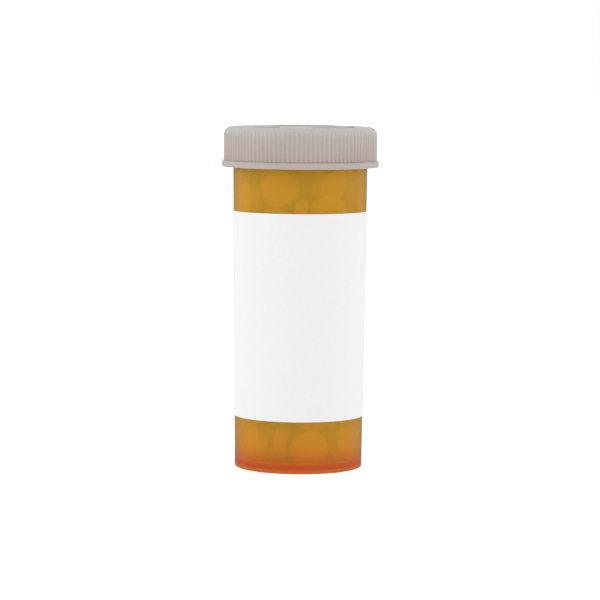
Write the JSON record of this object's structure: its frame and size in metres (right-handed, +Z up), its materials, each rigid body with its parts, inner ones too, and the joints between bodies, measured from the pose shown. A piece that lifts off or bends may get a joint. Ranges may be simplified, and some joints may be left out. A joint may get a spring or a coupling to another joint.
{
  "type": "prescription vial",
  "caption": "Translucent amber pharmacy vial with a paper label, filled with round tablets and closed by a ribbed push-down-and-turn cap with a spring disc and a sealing disc.",
  "frame": {"origin": "centre of the base, on the plane that the vial stands on", "axes": "+Z up along the vial's axis, -Y towards the front of the label, +X to the right as seen from the front"},
  "size_m": [0.0406, 0.0406, 0.0889],
  "materials": {
    "vial_amber": "gloss",
    "cap_white": "satin",
    "spring_white": "satin",
    "seal_foam": "matte",
    "label_paper": "matte",
    "tablet": "matte"
  },
  "bodies": {
    "vial": {"vial_body": "vial_amber", "label": "label_paper", "tablets_crown": "tablet", "tablets_lower_1": "tablet", "tablets_lower_2": "tablet", "tablets_lower_3": "tablet", "tablets_lower_4": "tablet", "tablets_lower_5": "tablet", "tablets_lower_6": "tablet", "tablets_lower_7": "tablet", "tablets_lower_8": "tablet", "tablets_upper_1": "tablet", "tablets_upper_2": "tablet", "tablets_upper_3": "tablet", "tablets_upper_4": "tablet", "tablets_upper_5": "tablet", "tablets_upper_6": "tablet", "tablets_upper_7": "tablet", "tablets_upper_8": "tablet", "tablets_core_01": "tablet", "tablets_core_02": "tablet", "tablets_core_03": "tablet", "tablets_core_04": "tablet", "tablets_core_05": "tablet", "tablets_core_06": "tablet", "tablets_core_07": "tablet", "tablets_core_08": "tablet", "tablets_core_09": "tablet", "tablets_core_10": "tablet", "tablets_core_11": "tablet", "tablets_core_12": "tablet", "tablets_core_13": "tablet", "tablets_core_14": "tablet", "tablets_core_15": "tablet", "tablets_core_16": "tablet", "tablets_core_17": "tablet"},
    "seal": {"seal_disc": "seal_foam"},
    "spring": {"spring_disc": "spring_white"},
    "cap": {"cap_shell": "cap_white"}
  },
  "joints": [
    {"name": "cap_lift", "type": "slide", "parent": "vial", "child": "seal", "axis": [0, 0, 1], "range_m": [0, 0.025]},
    {"name": "cap_turn", "type": "hinge", "parent": "seal", "child": "spring", "pos_m": [0, 0, 0.086], "axis": [0, 0, 1], "range_deg": [-36, 0]},
    {"name": "cap_press", "type": "slide", "parent": "spring", "child": "cap", "axis": [0, 0, 1], "range_m": [0, 0.001], "stiffness_N_per_m": 3000, "springref_m": 0.0015, "deforming": ["spring_disc"]}
  ]
}
